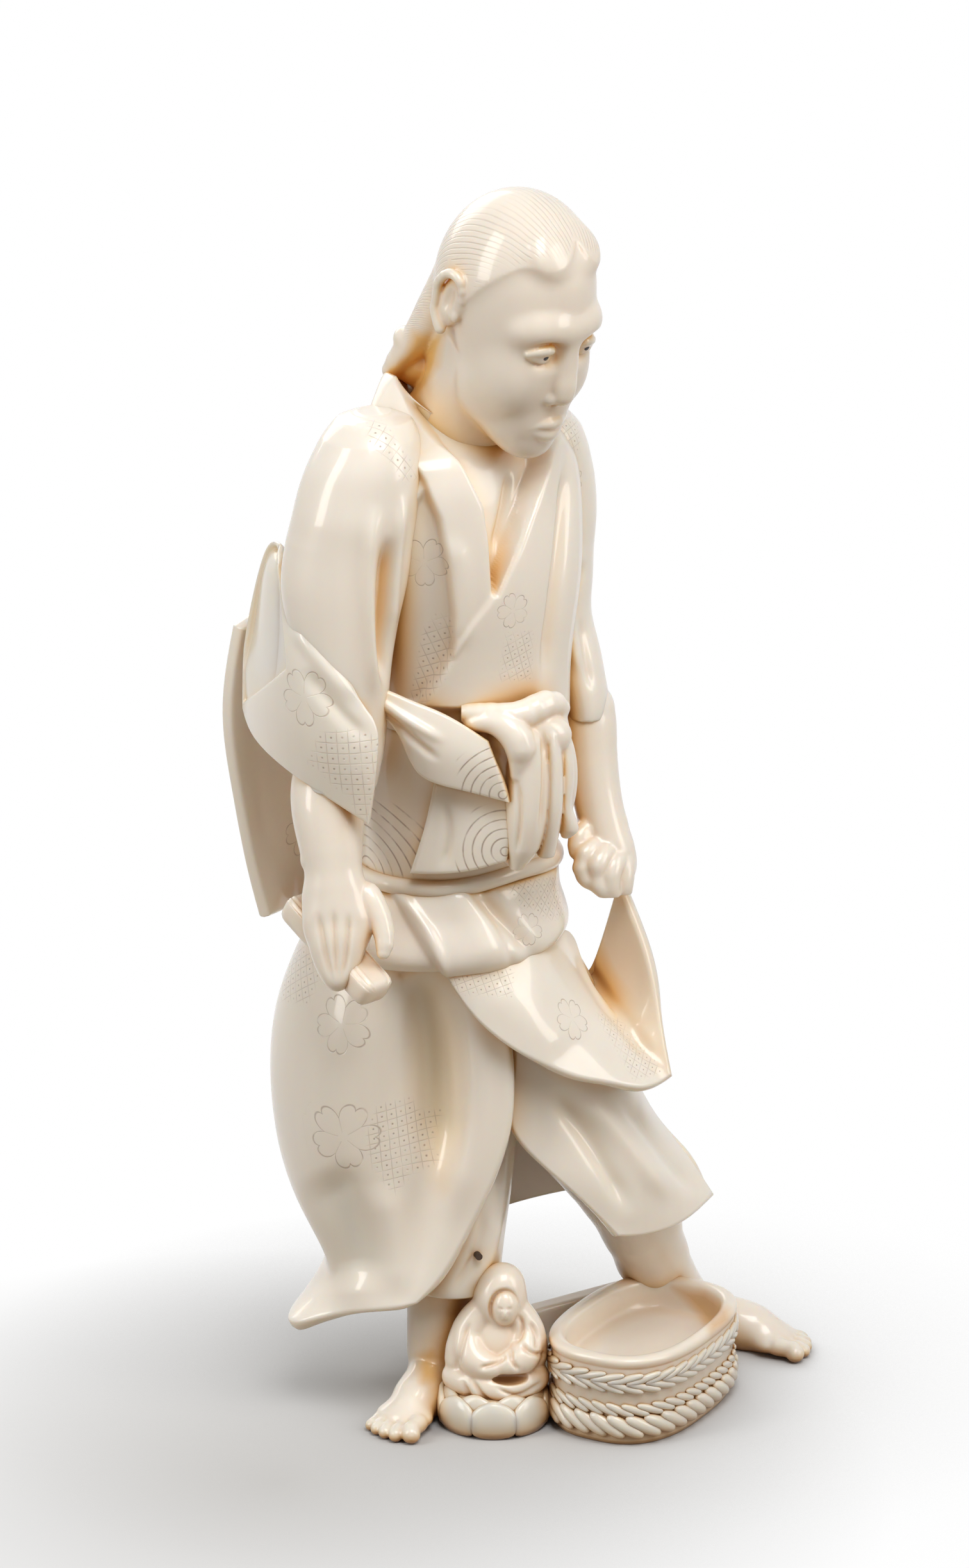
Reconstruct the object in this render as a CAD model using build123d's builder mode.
import os

from build123d import *

os.makedirs("parts", exist_ok=True)

# An ivory okimono: a barefoot figure in a robe, standing beside an oval tub and a small seated figure.
# Sizes are in millimetres. Z is the height above the surface that the carving stands on.

# Main levels
hip_level = 69.5            # lower rim of the tucked hip fold
hip_fold_height = 9.5       # from that rim up to the bottom of the obi
obi_height = 25.0           # the wide sash
chest_height = 40.0         # from the top of the obi up to the shoulders
head_height = 35.3          # from the chin to the top of the hair

# Middle of the whole carving in plan, seen from above
plan_centre_x = 1.03
plan_centre_y = -3.05

# Figure
waist_half_width = 14.6     # across the waist
waist_half_depth = 12.7     # from the back to the belly
obi_step = 0.8              # how far the obi stands proud of the robe above it
robe_wall = 2.0             # thickness of the carved robe panels
drape_wall = 1.8            # thickness of the hanging sleeve
sash_wall = 2.2             # thickness of the obi tails
cord_rise = 1.1             # how far the cord stands proud of the obi
cord_height = 2.6
neck_radius = 6.2
head_pitch = 20.0           # degrees that the face looks down
nose_half_width = 1.9
ear_rise = 9.7              # from the middle of the head out to the middle of an ear
pupil_diameter = 1.3
pupil_spacing = 7.8
pupil_reach = 8.0           # from the middle of the skull to the middle of an inlay
pupil_length = 6.0
fan_length = 20.6
fan_width = 4.6
fan_thickness = 3.0
finger_radius = 1.3
finger_pitch = 2.0          # from one finger to the next
foot_height = 6.0

# Tub
tub_half_length = 16.4
tub_half_width = 11.0
tub_height = 13.5
tub_wall = 2.2
tub_depth = 5.2             # from the rim down to the floor inside
tub_flare = 0.7             # how much wider the rim is than the foot
hoop_rise = 0.8             # how far the hoops stand proud of the staves
tub_turn = 61.0             # degrees from the X axis to the long axis
tub_hoops = ((1.6, 2.8), (4.9, 1.2), (8.0, 3.4))   # where each hoop starts, and its height

# Seated figure, its lotus pedestal and the board behind the tub
lotus_radius = 8.2
lotus_height = 5.6
petal_radius = 2.3
petal_count = 14
lotus_x = -3.5
lotus_y = -11.0
seated_height = 17.5
board_length = 19.0
board_height = 11.0
board_thickness = 3.0

# Pegs, and how freely they fit before the glue
waist_peg_diameter = 6.0
waist_peg_length = 20.0
limb_peg_diameter = 3.0
limb_peg_length = 10.0
pin_diameter = 1.0
pin_length = 7.0
glue_gap = 0.05
seat_gap = 0.15             # between pieces that only stand side by side

# Levels worked out from the sizes above
obi_bottom = hip_level + hip_fold_height
obi_top = obi_bottom + obi_height
shoulder_level = obi_top + chest_height
chin_level = shoulder_level - 0.8

# The figure faces the front right; across runs from its right shoulder to its left one
forward = Vector(1, -1, 0).normalized()
across = Vector(1, 1, 0).normalized()
upright = Vector(0, 0, 1)
limb_side = Vector(1, 0.3, 0.1)
head_forward = forward.rotate(Axis((0, 0, 0), across), head_pitch)
head_up = upright.rotate(Axis((0, 0, 0), across), head_pitch)


def place(x, y, z):
    return Vector(x - plan_centre_x, y - plan_centre_y, z)


def lower_level(share):
    return share * hip_level


def obi_level(share):
    return obi_bottom + share * obi_height


def back_panel_level(share):
    # shares of the obi above its lower edge, and of the hip fold below it
    return obi_level(share) if share > 0 else obi_bottom + share * hip_fold_height


def chest_level(share):
    return obi_top + share * chest_height


def head_level(share):
    return chin_level + share * head_height


def seated_level(share):
    return lotus_height + share * seated_height


def arm_level(share):
    return shoulder_level - share * (shoulder_level - hip_level)


def upright_form(stations):
    # level ovals stacked upwards: x, y, z, half width across the shoulders, half depth
    with BuildPart() as form:
        for x, y, z, half_width, half_depth in stations:
            with BuildSketch(Plane(origin=place(x, y, z), x_dir=across, z_dir=(0, 0, 1))):
                Ellipse(half_width, half_depth)
        loft()
    return form.part


def limb_form(stations):
    # ovals square to the limb's own line: x, y, z, half width, half depth
    centres = [place(x, y, z) for x, y, z, half_width, half_depth in stations]
    with BuildPart() as form:
        for index, station in enumerate(stations):
            before = centres[max(index - 1, 0)]
            after = centres[min(index + 1, len(centres) - 1)]
            with BuildSketch(Plane(origin=centres[index], x_dir=limb_side, z_dir=after - before)):
                Ellipse(station[3], station[4])
        loft()
    return form.part


def cloth_form(rows, level, wall):
    # a curved panel: rows of points from the top down, with x, y and the height as a share of its level;
    # its wall lies behind the net where the rows run to the right, and before it where they run to the left
    net = [[place(x, y, level(share)) for x, y, share in row] for row in rows]
    with BuildPart() as form:
        thicken(Face.make_surface_from_array_of_points(net), amount=-wall)
    return form.part


def peg_form(middle, direction, diameter, length):
    with BuildPart() as form:
        with BuildSketch(Plane(origin=middle, z_dir=direction)):
            Circle(diameter / 2)
        extrude(amount=length / 2, both=True)
    return form.part


def peg_hole(middle, direction, diameter, length):
    return peg_form(middle, direction, diameter + 2 * glue_gap, length + 2 * glue_gap)


def limb_peg_hole(middle, direction):
    return peg_hole(middle, direction, limb_peg_diameter, limb_peg_length)


def largest(part):
    # the piece itself, without the offcuts that a neighbour leaves
    return part.solids().sort_by(SortBy.VOLUME)[-1]


def head_point(ahead, aside, share):
    # in the head's own directions, with the height as a share of the head
    return skull_middle + head_forward * ahead + across * aside + head_up * (share - 0.5) * head_height


def head_form(stations):
    # ovals stacked up the tilted head: ahead, aside, share of its height, half width, half depth
    with BuildPart() as form:
        for ahead, aside, share, half_width, half_depth in stations:
            with BuildSketch(Plane(origin=head_point(ahead, aside, share), x_dir=across, z_dir=head_up)):
                Ellipse(half_width, half_depth)
        loft()
    return form.part


# Places and directions of the hidden pegs
waist_peg_middle = place(-8.0, 0.0, obi_top)
hip_peg_middle = place(-8.8, 1.0, obi_bottom)
neck_peg_middle = place(-8.6, -2.0, chest_level(0.98))
right_shoulder_peg_middle = place(-19.5, -11.5, chest_level(0.84))
left_shoulder_peg_middle = place(3.4, 8.0, chest_level(0.80))
right_wrist_peg_middle = place(-25.4, -16.4, arm_level(0.63))
left_wrist_peg_middle = place(8.7, 6.0, arm_level(0.60))
right_hip_peg_middle = place(-9.0, 0.5, lower_level(0.60))
left_hip_peg_middle = place(0.5, 7.0, lower_level(0.66))
left_hip_peg_direction = Vector(1.0, 0.1, -1.0)
left_wrist_peg_direction = Vector(0.15, -0.15, -1.0)
seated_peg_middle = place(lotus_x, lotus_y, lotus_height)
pin_middle = place(-6.4, -8.6, lower_level(0.36))
pin_direction = Vector(0.25, -1.0, 0.1)
skull_middle = place(-0.4, -9.0, head_level(0.51))

# Hip block: the mass under the robe that carries the legs, the panels and the obi
hip_stations = [
    (-9.5, 4.0, lower_level(0.60), 11.0, 9.5),
    (-10.0, 4.0, lower_level(0.72), 12.8, 10.8),
    (-10.8, 3.8, lower_level(0.86), 13.8, 12.0),
    (-11.5, 2.4, lower_level(1.00), 15.2, 14.4),
    (-9.0, 1.0, obi_bottom, waist_half_width, waist_half_depth),
]
with BuildPart() as hip_block:
    add(upright_form(hip_stations))
    add(peg_hole(hip_peg_middle, upright, waist_peg_diameter, waist_peg_length), mode=Mode.SUBTRACT)
    add(limb_peg_hole(right_hip_peg_middle, upright), mode=Mode.SUBTRACT)
    add(limb_peg_hole(left_hip_peg_middle, left_hip_peg_direction), mode=Mode.SUBTRACT)

# Obi: the wide sash round the waist
obi_stations = [
    (-9.0, 1.0, obi_bottom, waist_half_width, waist_half_depth),
    (-8.2, 0.2, obi_level(0.5), waist_half_width + 0.2, waist_half_depth + 0.2),
    (-7.0, -0.8, obi_top, waist_half_width, waist_half_depth),
]
with BuildPart() as obi:
    add(upright_form(obi_stations))
    add(peg_hole(waist_peg_middle, upright, waist_peg_diameter, waist_peg_length), mode=Mode.SUBTRACT)
    add(peg_hole(hip_peg_middle, upright, waist_peg_diameter, waist_peg_length), mode=Mode.SUBTRACT)

# Torso with the standing collar round the neck
torso_stations = [
    (-7.0, -0.8, obi_top, waist_half_width - obi_step, waist_half_depth - obi_step),
    (-6.8, -1.2, chest_level(0.22), 15.4, 12.5),
    (-6.8, -1.6, chest_level(0.50), 17.4, 12.8),
    (-7.5, -1.6, chest_level(0.80), 19.2, 11.8),
    (-8.4, -1.2, chest_level(1.00), 18.2, 9.8),
    (-9.4, -0.6, chest_level(1.12), 10.5, 8.6),
    (-9.8, 0.0, chest_level(1.19), 9.4, 8.6),
]
neck_well_stations = [
    (-8.6, -2.0, chest_level(0.98), neck_radius + seat_gap, neck_radius + seat_gap),
    (-9.0, -1.6, chest_level(1.10), neck_radius + 1.2, neck_radius + 0.9),
    (-9.4, -1.0, chest_level(1.22), neck_radius + 1.8, neck_radius + 1.6),
]
with BuildPart() as torso:
    add(upright_form(torso_stations))
    add(upright_form(neck_well_stations), mode=Mode.SUBTRACT)
    add(peg_hole(waist_peg_middle, upright, waist_peg_diameter, waist_peg_length), mode=Mode.SUBTRACT)
    add(limb_peg_hole(neck_peg_middle, upright), mode=Mode.SUBTRACT)
    add(limb_peg_hole(right_shoulder_peg_middle, across), mode=Mode.SUBTRACT)
    add(limb_peg_hole(left_shoulder_peg_middle, across), mode=Mode.SUBTRACT)

# Head with the combed hair, the tail of hair at the nape, and the neck
skull_stations = [
    (7.1, 0.0, 0.005, 1.7, 2.2),
    (5.0, 0.0, 0.06, 4.3, 5.9),
    (3.8, 0.0, 0.17, 7.3, 7.6),
    (0.9, 0.0, 0.33, 8.3, 10.3),
    (-1.5, 0.0, 0.50, 9.4, 12.0),
    (-1.8, 0.0, 0.66, 10.2, 12.3),
    (-1.8, 0.0, 0.82, 8.7, 10.5),
    (-1.8, 0.0, 0.93, 6.0, 7.2),
    (-1.8, 0.0, 0.99, 2.4, 2.9),
]
nose_stations = [
    (11.6, 0.0, 0.285, nose_half_width, 1.5),
    (11.5, 0.0, 0.34, 0.85 * nose_half_width, 1.7),
    (10.4, 0.0, 0.44, 0.55 * nose_half_width, 1.3),
    (9.5, 0.0, 0.55, 0.40 * nose_half_width, 0.9),
]
ear_stations = [
    (-3.4, ear_rise - 0.4, 0.375, 0.8, 1.0),
    (-3.9, ear_rise, 0.455, 1.0, 2.0),
    (-4.2, ear_rise + 0.2, 0.535, 1.1, 2.5),
    (-4.2, ear_rise + 0.1, 0.605, 0.8, 1.6),
]
neck_stations = [
    (-8.6, -2.0, chest_level(0.98), neck_radius, neck_radius),
    (-6.5, -4.0, chest_level(1.08), neck_radius - 0.4, neck_radius - 0.4),
    (-2.0, -8.0, chest_level(1.28), neck_radius + 0.8, neck_radius + 0.8),
]
hair_tail_stations = [
    (-5.8, -4.0, head_level(0.73), 4.8, 4.0),
    (-8.6, -3.5, head_level(0.59), 4.4, 3.4),
    (-11.1, -2.6, head_level(0.49), 3.8, 2.9),
    (-13.1, -1.6, head_level(0.40), 3.2, 2.3),
    (-15.0, -0.6, head_level(0.33), 2.7, 1.9),
    (-16.6, 0.4, head_level(0.26), 2.0, 1.5),
]
pupil_middles = [head_point(pupil_reach, side * pupil_spacing / 2, 0.5) for side in (-1, 1)]
with BuildPart() as head:
    add(head_form(skull_stations))
    add(head_form(nose_stations))
    for side in (-1, 1):
        add(head_form([(ahead, side * aside, share, a, b) for ahead, aside, share, a, b in ear_stations]))
    add(upright_form(neck_stations))
    add(limb_form(hair_tail_stations))
    add(limb_peg_hole(neck_peg_middle, upright), mode=Mode.SUBTRACT)
    add(torso.part, mode=Mode.SUBTRACT)

# Dark pupils let into the eyes, flush with the face
with BuildPart() as pupil_inlays:
    for pupil_middle in pupil_middles:
        add(peg_form(pupil_middle, head_forward, pupil_diameter, pupil_length))
    add(head.part, mode=Mode.INTERSECT)
with BuildPart() as drilled_head:
    add(head.part)
    add(pupil_inlays.part, mode=Mode.SUBTRACT)

# Right sleeve: the arm in its sleeve, and the cloth that hangs from it
right_sleeve_stations = [
    (-17.0, -9.0, arm_level(0.00), 6.2, 5.6),
    (-22.6, -12.6, arm_level(0.07), 8.2, 7.4),
    (-23.8, -14.0, arm_level(0.22), 8.3, 7.6),
    (-24.0, -14.8, arm_level(0.38), 7.2, 6.4),
    (-24.8, -15.6, arm_level(0.51), 5.8, 5.2),
    (-25.2, -16.2, arm_level(0.60), 5.4, 5.0),
]
with BuildPart() as right_sleeve:
    add(limb_form(right_sleeve_stations))
    add(torso.part, mode=Mode.SUBTRACT)
    add(obi.part, mode=Mode.SUBTRACT)
    add(limb_peg_hole(right_shoulder_peg_middle, across), mode=Mode.SUBTRACT)
    add(limb_peg_hole(right_wrist_peg_middle, upright), mode=Mode.SUBTRACT)

sleeve_drape_rows = [
    [(-32.6, -1.0, 0.22), (-33.0, -9.5, 0.28), (-29.4, -18.6, 0.37), (-20.7, -22.0, 0.50)],
    [(-37.6, 2.0, 0.36), (-36.6, -9.0, 0.44), (-30.4, -20.0, 0.50), (-20.8, -23.4, 0.60)],
    [(-38.6, 2.0, 0.53), (-37.4, -8.0, 0.57), (-31.4, -18.0, 0.635), (-21.3, -22.8, 0.70)],
]
with BuildPart() as sleeve_drape:
    add(cloth_form(sleeve_drape_rows, arm_level, drape_wall))
    add(right_sleeve.part, mode=Mode.SUBTRACT)
    add(largest(sleeve_drape.part), mode=Mode.REPLACE)

# Closed fan in the right hand
fan_middle = place(-24.9, -20.2, arm_level(0.94))
fan_direction = Vector(12.6, -12.5, -10.5)
with BuildPart() as closed_fan:
    with BuildSketch(Plane(origin=fan_middle, x_dir=(1, 1, 0), z_dir=fan_direction)):
        RectangleRounded(fan_width, fan_thickness, 0.5)
    extrude(amount=fan_length / 2, both=True)

# Right forearm and hand
right_forearm_stations = [
    (-25.3, -16.2, arm_level(0.60), 5.2, 4.8),
    (-25.5, -17.6, arm_level(0.70), 4.9, 4.6),
    (-25.7, -19.0, arm_level(0.78), 4.2, 3.8),
    (-25.4, -20.4, arm_level(0.86), 5.4, 3.8),
    (-25.2, -21.6, arm_level(0.93), 5.2, 3.6),
    (-25.4, -22.4, arm_level(0.975), 3.6, 2.8),
]
with BuildPart() as right_forearm:
    add(limb_form(right_forearm_stations))
    for finger in range(4):
        along = finger_pitch * finger
        finger_stations = [
            (-28.6 + along, -21.6, arm_level(0.90), finger_radius, finger_radius),
            (-28.0 + along, -24.0, arm_level(0.95), finger_radius, finger_radius),
            (-26.4 + 0.6 * along, -23.6, arm_level(1.00), 0.8 * finger_radius, 0.8 * finger_radius),
        ]
        add(limb_form(finger_stations))
    thumb_stations = [
        (-22.0, -20.6, arm_level(0.85), 1.2 * finger_radius, 1.2 * finger_radius),
        (-19.6, -22.4, arm_level(0.90), 1.1 * finger_radius, 1.1 * finger_radius),
        (-19.0, -24.4, arm_level(0.95), 0.8 * finger_radius, 0.8 * finger_radius),
    ]
    add(limb_form(thumb_stations))
    add(closed_fan.part, mode=Mode.SUBTRACT)
    add(right_sleeve.part, mode=Mode.SUBTRACT)
    add(sleeve_drape.part, mode=Mode.SUBTRACT)
    add(limb_peg_hole(right_wrist_peg_middle, upright), mode=Mode.SUBTRACT)
    add(largest(right_forearm.part), mode=Mode.REPLACE)

# Left sleeve
left_sleeve_stations = [
    (1.0, 6.4, arm_level(0.02), 6.0, 5.6),
    (4.2, 8.8, arm_level(0.10), 6.6, 6.6),
    (4.6, 9.8, arm_level(0.22), 6.5, 6.8),
    (4.4, 9.3, arm_level(0.35), 6.3, 6.5),
    (5.2, 8.2, arm_level(0.47), 6.2, 6.0),
    (8.2, 6.8, arm_level(0.58), 5.0, 5.0),
]
with BuildPart() as left_sleeve:
    add(limb_form(left_sleeve_stations))
    add(torso.part, mode=Mode.SUBTRACT)
    add(obi.part, mode=Mode.SUBTRACT)
    add(limb_peg_hole(left_shoulder_peg_middle, across), mode=Mode.SUBTRACT)
    add(limb_peg_hole(left_wrist_peg_middle, left_wrist_peg_direction), mode=Mode.SUBTRACT)
    add(largest(left_sleeve.part), mode=Mode.REPLACE)

# Hip fold: the tucked cloth that hangs over the hips below the obi
hip_fold_stations = [
    (-12.4, 2.2, hip_level, 19.0, 18.6),
    (-12.2, 2.2, hip_level + 0.3 * hip_fold_height, 19.4, 19.0),
    (-10.6, 1.6, hip_level + 0.72 * hip_fold_height, 17.2, 15.8),
    (-9.0, 1.0, hip_level + 1.05 * hip_fold_height, waist_half_width + 0.6, waist_half_depth + 0.6),
]
with BuildPart() as hip_fold:
    add(upright_form(hip_fold_stations))
    add(hip_block.part, mode=Mode.SUBTRACT)
    add(obi.part, mode=Mode.SUBTRACT)
    add(largest(hip_fold.part), mode=Mode.REPLACE)

# Cord tied round the foot of the obi
cord_bottom = obi_level(0.02)
cord_edge = 0.6 * cord_rise
cord_stations = [
    (-9.0, 1.0, cord_bottom, waist_half_width + cord_edge, waist_half_depth + cord_edge),
    (-8.9, 0.9, cord_bottom + 0.5 * cord_height, waist_half_width + cord_rise, waist_half_depth + cord_rise),
    (-8.8, 0.8, cord_bottom + cord_height, waist_half_width + cord_edge, waist_half_depth + cord_edge),
]
with BuildPart() as obi_cord:
    add(upright_form(cord_stations))
    add(obi.part, mode=Mode.SUBTRACT)
    add(hip_fold.part, mode=Mode.SUBTRACT)
    add(largest(obi_cord.part), mode=Mode.REPLACE)

# Outer robe: one panel from the front edge, round the right hip and the back, to the left side
outer_robe_rows = [
    [(-3.0, -13.0, 1.02), (-7.0, -13.5, 1.02), (-11.5, -13.4, 1.02),
     (-20.0, -11.5, 1.02), (-27.5, -6.0, 1.02), (-29.6, 1.5, 1.02),
     (-26.5, 11.0, 1.02), (-14.0, 17.0, 1.02), (-2.0, 14.0, 1.02), (4.0, 8.0, 1.02), (6.0, 1.0, 1.02)],
    [(-1.0, -15.0, 0.83), (-6.4, -13.5, 0.83), (-12.5, -11.0, 0.83),
     (-22.5, -14.5, 0.83), (-31.0, -8.0, 0.83), (-34.6, 2.0, 0.83),
     (-29.5, 14.0, 0.83), (-14.0, 20.0, 0.83), (1.0, 18.0, 0.83), (9.0, 12.5, 0.83), (12.5, 4.5, 0.83)],
    [(-1.5, -16.0, 0.64), (-6.8, -14.3, 0.64), (-13.4, -11.2, 0.64),
     (-23.8, -15.0, 0.63), (-32.0, -8.0, 0.62), (-35.0, 2.0, 0.62),
     (-29.0, 14.0, 0.62), (-13.0, 20.5, 0.62), (3.0, 18.8, 0.62), (14.0, 15.0, 0.61), (18.8, 7.5, 0.60)],
    [(-6.0, -16.0, 0.47), (-10.0, -14.6, 0.465), (-15.0, -12.2, 0.46),
     (-22.8, -13.4, 0.45), (-29.5, -8.0, 0.43), (-31.8, 1.5, 0.44),
     (-27.0, 12.0, 0.44), (-12.0, 19.0, 0.46), (5.0, 19.0, 0.47), (18.0, 16.5, 0.48), (24.5, 8.0, 0.49)],
    [(-10.5, -16.0, 0.35), (-13.2, -14.8, 0.345), (-16.8, -13.2, 0.34),
     (-22.5, -12.6, 0.33), (-26.5, -8.5, 0.31), (-27.6, -2.0, 0.31),
     (-25.0, 9.0, 0.32), (-11.0, 16.5, 0.35), (6.0, 18.0, 0.39), (19.5, 16.5, 0.41), (27.0, 8.0, 0.43)],
    [(-14.4, -15.5, 0.28), (-16.2, -15.1, 0.27), (-18.6, -14.5, 0.26),
     (-22.8, -13.4, 0.248), (-27.8, -10.8, 0.222), (-32.2, -7.2, 0.204),
     (-28.6, 5.0, 0.215), (-15.0, 15.0, 0.26), (4.0, 17.4, 0.34), (19.5, 16.5, 0.375), (28.0, 7.5, 0.40)],
]
with BuildPart() as outer_robe:
    add(cloth_form(outer_robe_rows, lower_level, -robe_wall))
    add(hip_block.part, mode=Mode.SUBTRACT)
    add(hip_fold.part, mode=Mode.SUBTRACT)
    add(largest(outer_robe.part), mode=Mode.REPLACE)

# Lifted panel: the front of the robe on the left leg, drawn up to the left hand
lifted_panel_rows = [
    [(-11.5, -15.4, 1.025), (-4.4, -14.4, 1.02), (3.5, -8.0, 1.02),
     (6.5, 1.0, 1.01), (10.5, 5.0, 0.96), (14.6, 1.6, 1.08)],
    [(-6.5, -17.5, 0.92), (1.0, -16.4, 0.905), (8.0, -9.0, 0.91),
     (11.0, -0.5, 0.895), (13.5, 2.0, 0.905), (17.8, -0.5, 0.975)],
    [(-1.0, -18.0, 0.85), (5.0, -17.0, 0.82), (11.0, -11.5, 0.825),
     (15.0, -6.0, 0.825), (17.0, -4.0, 0.83), (20.0, -3.5, 0.86)],
    [(3.0, -17.5, 0.815), (8.1, -16.0, 0.775), (13.0, -13.8, 0.75),
     (17.5, -11.5, 0.73), (20.5, -9.0, 0.73), (21.8, -8.0, 0.74)],
]
with BuildPart() as lifted_panel:
    add(cloth_form(lifted_panel_rows, lower_level, robe_wall))
    add(hip_block.part, mode=Mode.SUBTRACT)
    add(hip_fold.part, mode=Mode.SUBTRACT)
    add(outer_robe.part, mode=Mode.SUBTRACT)
    add(largest(lifted_panel.part), mode=Mode.REPLACE)

# Under robe on the left leg
under_robe_rows = [
    [(-4.0, -9.0, 0.96), (2.0, -6.0, 0.96), (4.5, -1.0, 0.96), (4.5, 5.0, 0.96)],
    [(-1.0, -11.5, 0.80), (8.0, -10.5, 0.80), (13.0, -4.5, 0.79), (13.5, 4.5, 0.78)],
    [(-1.3, -12.5, 0.655), (8.2, -10.5, 0.665), (16.0, -5.0, 0.65), (18.5, 5.0, 0.62)],
    [(6.0, -12.5, 0.53), (13.0, -10.5, 0.525), (20.5, -4.5, 0.52), (24.0, 5.0, 0.505)],
    [(14.2, -10.5, 0.40), (18.5, -7.8, 0.387), (24.0, -3.0, 0.39), (28.6, 4.0, 0.412)],
]
with BuildPart() as under_robe:
    add(cloth_form(under_robe_rows, lower_level, robe_wall))
    add(hip_block.part, mode=Mode.SUBTRACT)
    add(lifted_panel.part, mode=Mode.SUBTRACT)
    add(outer_robe.part, mode=Mode.SUBTRACT)
    add(largest(under_robe.part), mode=Mode.REPLACE)

# Left forearm and hand, which holds the lifted panel
left_forearm_stations = [
    (8.2, 6.8, arm_level(0.56), 4.4, 4.4),
    (9.4, 5.2, arm_level(0.66), 4.0, 4.0),
    (10.3, 3.8, arm_level(0.755), 3.2, 3.3),
    (11.4, 2.8, arm_level(0.83), 3.7, 4.0),
    (12.9, 2.2, arm_level(0.89), 3.9, 3.7),
    (13.4, 1.6, arm_level(0.94), 2.6, 2.6),
]
with BuildPart() as left_forearm:
    add(limb_form(left_forearm_stations))
    for finger in range(3):
        along = finger_pitch * finger
        finger_stations = [
            (11.0 + along, 0.6, arm_level(0.86), finger_radius, finger_radius),
            (11.8 + along, -1.2, arm_level(0.91), finger_radius, finger_radius),
            (13.0 + 0.7 * along, -0.6, arm_level(0.96), 0.8 * finger_radius, 0.8 * finger_radius),
        ]
        add(limb_form(finger_stations))
    add(lifted_panel.part, mode=Mode.SUBTRACT)
    add(left_sleeve.part, mode=Mode.SUBTRACT)
    add(obi.part, mode=Mode.SUBTRACT)
    add(hip_fold.part, mode=Mode.SUBTRACT)
    add(limb_peg_hole(left_wrist_peg_middle, left_wrist_peg_direction), mode=Mode.SUBTRACT)
    add(largest(left_forearm.part), mode=Mode.REPLACE)

# Knot of the obi, with its small loop, tied in front
knot_stations = [
    (1.2, -12.0, obi_level(0.18), 3.8, 2.8),
    (1.8, -12.2, obi_level(0.30), 5.2, 4.6),
    (2.4, -12.4, obi_level(0.48), 5.6, 5.4),
    (2.4, -12.4, obi_level(0.74), 5.6, 5.4),
    (2.2, -12.0, obi_level(0.98), 5.2, 4.6),
    (2.0, -11.6, obi_level(1.10), 4.2, 3.0),
]
loop_stations = [
    (-0.2, -15.8, obi_level(0.76), 1.8, 1.8),
    (-2.6, -17.0, obi_level(0.86), 3.0, 2.6),
    (-3.8, -16.6, obi_level(1.00), 2.6, 2.2),
    (-1.2, -14.8, obi_level(1.08), 1.8, 1.8),
]
with BuildPart() as obi_knot:
    add(upright_form(knot_stations))
    add(limb_form(loop_stations))
    add(obi.part, mode=Mode.SUBTRACT)
    add(torso.part, mode=Mode.SUBTRACT)
    add(obi_cord.part, mode=Mode.SUBTRACT)
    add(hip_fold.part, mode=Mode.SUBTRACT)
    add(left_forearm.part, mode=Mode.SUBTRACT)
    add(left_sleeve.part, mode=Mode.SUBTRACT)
    add(largest(obi_knot.part), mode=Mode.REPLACE)

# Tails of the obi, one over the other
lower_tail_rows = [
    [(-12.4, -13.4, 0.72), (-6.0, -14.4, 0.74), (0.6, -15.4, 0.72)],
    [(-13.8, -13.6, 0.46), (-6.6, -14.8, 0.48), (1.0, -16.0, 0.48)],
    [(-15.1, -13.8, 0.20), (-7.2, -15.0, 0.21), (0.9, -16.2, 0.29)],
]
with BuildPart() as obi_lower_tail:
    add(cloth_form(lower_tail_rows, obi_level, sash_wall))
    add(obi.part, mode=Mode.SUBTRACT)
    add(obi_cord.part, mode=Mode.SUBTRACT)
    add(obi_knot.part, mode=Mode.SUBTRACT)
    add(largest(obi_lower_tail.part), mode=Mode.REPLACE)

upper_tail_rows = [
    [(-18.4, -16.4, 1.22), (-13.6, -16.6, 1.17), (-8.6, -17.0, 1.10), (-3.8, -17.6, 1.03)],
    [(-17.8, -17.2, 1.08), (-13.2, -17.4, 0.99), (-8.0, -17.8, 0.90), (-2.6, -18.4, 0.85)],
    [(-17.0, -17.0, 0.94), (-12.6, -17.2, 0.80), (-7.4, -17.6, 0.70), (-1.4, -18.2, 0.65)],
]
with BuildPart() as obi_upper_tail:
    add(cloth_form(upper_tail_rows, obi_level, sash_wall))
    add(obi.part, mode=Mode.SUBTRACT)
    add(torso.part, mode=Mode.SUBTRACT)
    add(right_sleeve.part, mode=Mode.SUBTRACT)
    add(sleeve_drape.part, mode=Mode.SUBTRACT)
    add(obi_knot.part, mode=Mode.SUBTRACT)
    add(obi_lower_tail.part, mode=Mode.SUBTRACT)
    add(largest(obi_upper_tail.part), mode=Mode.REPLACE)

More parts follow.
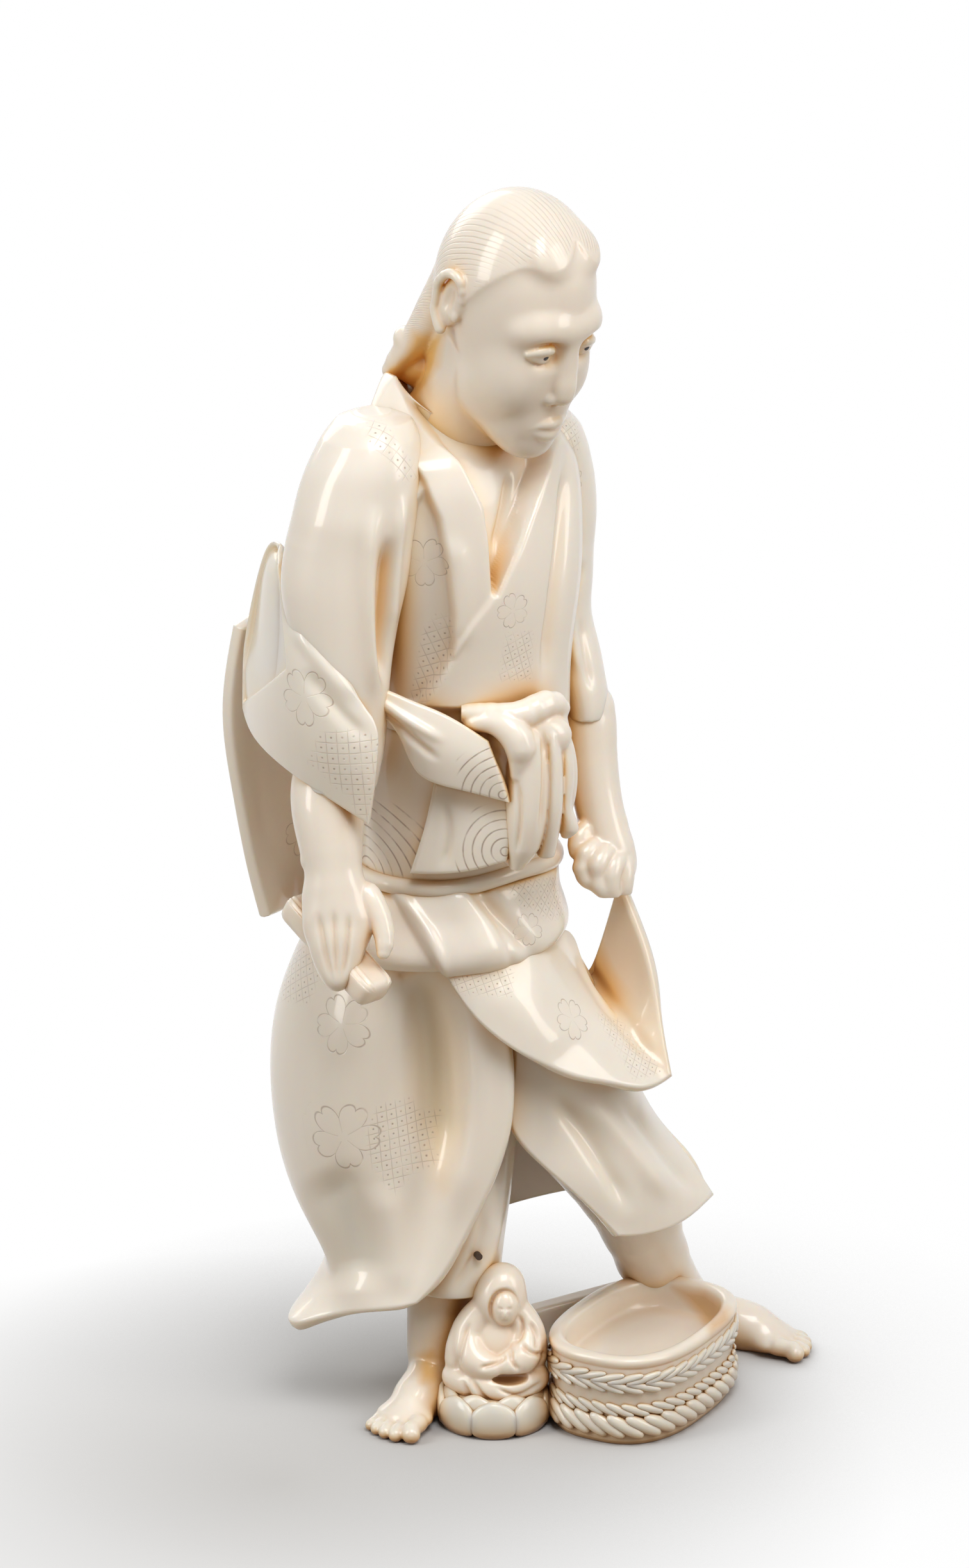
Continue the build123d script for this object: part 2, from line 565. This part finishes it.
# Back panel of the obi, hanging from the waist behind the right arm
back_panel_rows = [
    [(-38.8, 4.0, 1.38), (-28.5, 11.0, 1.50), (-15.5, 9.5, 1.48)],
    [(-40.5, 4.5, 0.90), (-30.0, 13.5, 0.92), (-16.5, 9.0, 0.92)],
    [(-39.4, 5.0, 0.44), (-30.0, 14.5, 0.44), (-17.0, 9.8, 0.44)],
    [(-37.4, 5.5, 0.00), (-30.0, 15.5, -0.10), (-19.0, 14.5, -0.10)],
    [(-35.2, 6.0, -0.92), (-30.0, 16.0, -1.05), (-20.0, 19.0, -1.10)],
]
with BuildPart() as obi_back_panel:
    add(cloth_form(back_panel_rows, back_panel_level, sash_wall))
    add(obi.part, mode=Mode.SUBTRACT)
    add(torso.part, mode=Mode.SUBTRACT)
    add(hip_fold.part, mode=Mode.SUBTRACT)
    add(outer_robe.part, mode=Mode.SUBTRACT)
    add(right_sleeve.part, mode=Mode.SUBTRACT)
    add(sleeve_drape.part, mode=Mode.SUBTRACT)
    add(largest(obi_back_panel.part), mode=Mode.REPLACE)

# Oval tub with its hoops
tub_long_axis = Vector(1, 0, 0).rotate(Axis.Z, tub_turn)
tub_plane = Plane(origin=place(18.0, -5.0, 0), x_dir=tub_long_axis, z_dir=(0, 0, 1))
foot_half_length = tub_half_length - tub_flare
foot_half_width = tub_half_width - tub_flare
hoop_half_length = tub_half_length - 0.4 * tub_flare + hoop_rise
hoop_half_width = tub_half_width - 0.4 * tub_flare + hoop_rise
with BuildPart() as tub:
    with BuildSketch(tub_plane):
        Ellipse(foot_half_length, foot_half_width)
    with BuildSketch(tub_plane.offset(tub_height)):
        Ellipse(tub_half_length, tub_half_width)
    loft()
    for hoop_start, hoop_height in tub_hoops:
        with BuildSketch(tub_plane.offset(hoop_start)):
            Ellipse(hoop_half_length, hoop_half_width)
        extrude(amount=hoop_height)
    with BuildSketch(tub_plane.offset(tub_height)):
        Ellipse(tub_half_length - tub_wall, tub_half_width - tub_wall)
    extrude(amount=-tub_depth, mode=Mode.SUBTRACT)
    fillet(tub.faces().sort_by(Axis.Z)[-1].edges(), 0.35 * tub_wall)

# Lotus pedestal of the seated figure
with BuildPart() as lotus_pedestal:
    with BuildSketch(Plane(origin=place(lotus_x, lotus_y, 0))):
        Circle(lotus_radius - 1.2)
    with BuildSketch(Plane(origin=place(lotus_x, lotus_y, lotus_height))):
        Circle(lotus_radius - 0.6)
    loft()
    with Locations(place(lotus_x, lotus_y, petal_radius)):
        with PolarLocations(lotus_radius - petal_radius, petal_count):
            Sphere(petal_radius)
    add(peg_hole(seated_peg_middle, upright, limb_peg_diameter, lotus_height), mode=Mode.SUBTRACT)
    add(tub.part, mode=Mode.SUBTRACT)
    add(largest(lotus_pedestal.part), mode=Mode.REPLACE)

# Small hooded figure, seated on the pedestal
seated_stations = [
    (-3.5, -11.0, 0.00, 6.6, 5.6),
    (-3.5, -11.0, 0.14, 7.4, 6.0),
    (-3.3, -11.0, 0.36, 6.4, 5.0),
    (-3.1, -10.8, 0.56, 5.8, 4.4),
    (-2.9, -10.8, 0.66, 4.3, 3.9),
    (-2.7, -10.8, 0.82, 4.1, 4.0),
    (-2.5, -10.8, 0.95, 2.7, 2.6),
    (-2.5, -10.8, 1.00, 0.9, 0.9),
]
with BuildPart() as seated_figure:
    add(upright_form([(x, y, seated_level(share), a, b) for x, y, share, a, b in seated_stations]))
    add(peg_hole(seated_peg_middle, upright, limb_peg_diameter, lotus_height), mode=Mode.SUBTRACT)

# Inner robe on the right leg
inner_robe_stations = [
    (-9.0, -5.6, lower_level(0.275), 6.4, 6.2),
    (-8.8, -4.8, lower_level(0.38), 6.9, 7.0),
    (-8.6, -3.2, lower_level(0.50), 7.9, 7.9),
    (-8.8, -1.0, lower_level(0.62), 8.6, 8.6),
]
right_leg_stations = [
    (-11.2, -3.4, 0.45 * foot_height, 3.9, 3.4),
    (-11.8, -4.2, 1.5 * foot_height, 3.3, 3.3),
    (-11.0, -4.4, lower_level(0.24), 4.2, 4.2),
    (-10.0, -4.2, lower_level(0.40), 4.6, 4.6),
]
right_foot_stations = [
    (-8.8, 1.2, 0.36 * foot_height, 2.6, 1.9),
    (-10.4, -2.4, 0.50 * foot_height, 3.3, 2.9),
    (-13.4, -8.6, 0.50 * foot_height, 3.7, 2.9),
    (-16.0, -13.6, 0.36 * foot_height, 4.3, 2.1),
    (-17.8, -17.2, 0.25 * foot_height, 4.2, 1.5),
    (-18.6, -18.8, 0.20 * foot_height, 3.0, 0.9),
]
with BuildPart() as right_leg:
    add(upright_form(right_leg_stations))
    add(limb_form(right_foot_stations))
    split(bisect_by=Plane(origin=place(0, 0, 0)))
    add(peg_hole(pin_middle, pin_direction, pin_diameter, pin_length), mode=Mode.SUBTRACT)
    add(lotus_pedestal.part, mode=Mode.SUBTRACT)
    add(seated_figure.part, mode=Mode.SUBTRACT)
    add(largest(right_leg.part), mode=Mode.REPLACE)
with BuildPart() as inner_robe:
    add(upright_form(inner_robe_stations))
    add(right_leg.part, mode=Mode.SUBTRACT)
    add(hip_block.part, mode=Mode.SUBTRACT)
    add(outer_robe.part, mode=Mode.SUBTRACT)
    add(under_robe.part, mode=Mode.SUBTRACT)
    add(seated_figure.part, mode=Mode.SUBTRACT)
    add(limb_peg_hole(right_hip_peg_middle, upright), mode=Mode.SUBTRACT)
    add(peg_hole(pin_middle, pin_direction, pin_diameter, pin_length), mode=Mode.SUBTRACT)
    add(largest(inner_robe.part), mode=Mode.REPLACE)

# Left leg and foot
left_leg_stations = [
    (-1.0, 6.6, lower_level(0.68), 6.4, 6.4),
    (9.0, 7.6, lower_level(0.52), 6.4, 6.4),
    (16.5, 9.6, lower_level(0.36), 5.9, 5.9),
    (20.2, 13.6, lower_level(0.20), 5.0, 5.0),
    (24.0, 17.6, 1.1 * foot_height, 3.9, 3.9),
    (26.0, 18.6, 0.45 * foot_height, 3.4, 3.4),
]
left_foot_stations = [
    (24.0, 20.2, 0.40 * foot_height, 2.4, 2.0),
    (27.0, 18.8, 0.50 * foot_height, 3.2, 2.9),
    (32.5, 16.4, 0.50 * foot_height, 3.6, 2.9),
    (37.5, 14.4, 0.36 * foot_height, 4.2, 2.1),
    (41.6, 12.8, 0.25 * foot_height, 4.0, 1.5),
    (43.4, 12.1, 0.20 * foot_height, 2.8, 0.9),
]
with BuildPart() as left_leg:
    add(limb_form(left_leg_stations))
    add(limb_form(left_foot_stations))
    split(bisect_by=Plane(origin=place(0, 0, 0)))
    add(hip_block.part, mode=Mode.SUBTRACT)
    add(under_robe.part, mode=Mode.SUBTRACT)
    add(outer_robe.part, mode=Mode.SUBTRACT)
    add(inner_robe.part, mode=Mode.SUBTRACT)
    add(tub.part, mode=Mode.SUBTRACT)
    add(limb_peg_hole(left_hip_peg_middle, left_hip_peg_direction), mode=Mode.SUBTRACT)
    add(largest(left_leg.part), mode=Mode.REPLACE)

# Board standing on edge behind the tub
board_plane = Plane(origin=place(8.0, 8.2, 0), x_dir=(1.0, 0.69, 0), z_dir=(0, 0, 1))
with BuildPart() as rear_board:
    with BuildSketch(board_plane):
        Rectangle(board_length, board_thickness)
    extrude(amount=board_height)
    fillet(rear_board.edges().filter_by(Axis.Z), 0.6)
    add(tub.part, mode=Mode.SUBTRACT)
    add(left_leg.part, mode=Mode.SUBTRACT)
    add(largest(rear_board.part), mode=Mode.REPLACE)

# Pegs
with BuildPart() as waist_peg:
    add(peg_form(waist_peg_middle, upright, waist_peg_diameter, waist_peg_length))
with BuildPart() as hip_peg:
    add(peg_form(hip_peg_middle, upright, waist_peg_diameter, waist_peg_length))
with BuildPart() as neck_peg:
    add(peg_form(neck_peg_middle, upright, limb_peg_diameter, limb_peg_length))
with BuildPart() as shoulder_pegs:
    add(peg_form(right_shoulder_peg_middle, across, limb_peg_diameter, limb_peg_length))
    add(peg_form(left_shoulder_peg_middle, across, limb_peg_diameter, limb_peg_length))
with BuildPart() as wrist_pegs:
    add(peg_form(right_wrist_peg_middle, upright, limb_peg_diameter, limb_peg_length))
    add(peg_form(left_wrist_peg_middle, left_wrist_peg_direction, limb_peg_diameter, limb_peg_length))
with BuildPart() as leg_pegs:
    add(peg_form(right_hip_peg_middle, upright, limb_peg_diameter, limb_peg_length))
    add(peg_form(left_hip_peg_middle, left_hip_peg_direction, limb_peg_diameter, limb_peg_length))
with BuildPart() as seated_peg:
    add(peg_form(seated_peg_middle, upright, limb_peg_diameter, lotus_height))
with BuildPart() as shin_pin:
    add(peg_form(pin_middle, pin_direction, pin_diameter, pin_length))

# Each piece under the name it is known by
hip_block.part.label = "hip_block"
export_step(hip_block.part, "parts/hip_block.step")
obi.part.label = "obi"
export_step(obi.part, "parts/obi.step")
torso.part.label = "torso"
export_step(torso.part, "parts/torso.step")
drilled_head.part.label = "head"
export_step(drilled_head.part, "parts/head.step")
pupil_inlays.part.label = "pupil_inlays"
export_step(pupil_inlays.part, "parts/pupil_inlays.step")
right_sleeve.part.label = "right_sleeve"
export_step(right_sleeve.part, "parts/right_sleeve.step")
sleeve_drape.part.label = "sleeve_drape"
export_step(sleeve_drape.part, "parts/sleeve_drape.step")
closed_fan.part.label = "closed_fan"
export_step(closed_fan.part, "parts/closed_fan.step")
right_forearm.part.label = "right_forearm"
export_step(right_forearm.part, "parts/right_forearm.step")
left_sleeve.part.label = "left_sleeve"
export_step(left_sleeve.part, "parts/left_sleeve.step")
hip_fold.part.label = "hip_fold"
export_step(hip_fold.part, "parts/hip_fold.step")
obi_cord.part.label = "obi_cord"
export_step(obi_cord.part, "parts/obi_cord.step")
outer_robe.part.label = "outer_robe"
export_step(outer_robe.part, "parts/outer_robe.step")
lifted_panel.part.label = "lifted_panel"
export_step(lifted_panel.part, "parts/lifted_panel.step")
under_robe.part.label = "under_robe"
export_step(under_robe.part, "parts/under_robe.step")
left_forearm.part.label = "left_forearm"
export_step(left_forearm.part, "parts/left_forearm.step")
obi_knot.part.label = "obi_knot"
export_step(obi_knot.part, "parts/obi_knot.step")
obi_lower_tail.part.label = "obi_lower_tail"
export_step(obi_lower_tail.part, "parts/obi_lower_tail.step")
obi_upper_tail.part.label = "obi_upper_tail"
export_step(obi_upper_tail.part, "parts/obi_upper_tail.step")
obi_back_panel.part.label = "obi_back_panel"
export_step(obi_back_panel.part, "parts/obi_back_panel.step")
tub.part.label = "tub"
export_step(tub.part, "parts/tub.step")
lotus_pedestal.part.label = "lotus_pedestal"
export_step(lotus_pedestal.part, "parts/lotus_pedestal.step")
seated_figure.part.label = "seated_figure"
export_step(seated_figure.part, "parts/seated_figure.step")
right_leg.part.label = "right_leg"
export_step(right_leg.part, "parts/right_leg.step")
inner_robe.part.label = "inner_robe"
export_step(inner_robe.part, "parts/inner_robe.step")
left_leg.part.label = "left_leg"
export_step(left_leg.part, "parts/left_leg.step")
rear_board.part.label = "rear_board"
export_step(rear_board.part, "parts/rear_board.step")
waist_peg.part.label = "waist_peg"
export_step(waist_peg.part, "parts/waist_peg.step")
hip_peg.part.label = "hip_peg"
export_step(hip_peg.part, "parts/hip_peg.step")
neck_peg.part.label = "neck_peg"
export_step(neck_peg.part, "parts/neck_peg.step")
shoulder_pegs.part.label = "shoulder_pegs"
export_step(shoulder_pegs.part, "parts/shoulder_pegs.step")
wrist_pegs.part.label = "wrist_pegs"
export_step(wrist_pegs.part, "parts/wrist_pegs.step")
leg_pegs.part.label = "leg_pegs"
export_step(leg_pegs.part, "parts/leg_pegs.step")
seated_peg.part.label = "seated_peg"
export_step(seated_peg.part, "parts/seated_peg.step")
shin_pin.part.label = "shin_pin"
export_step(shin_pin.part, "parts/shin_pin.step")
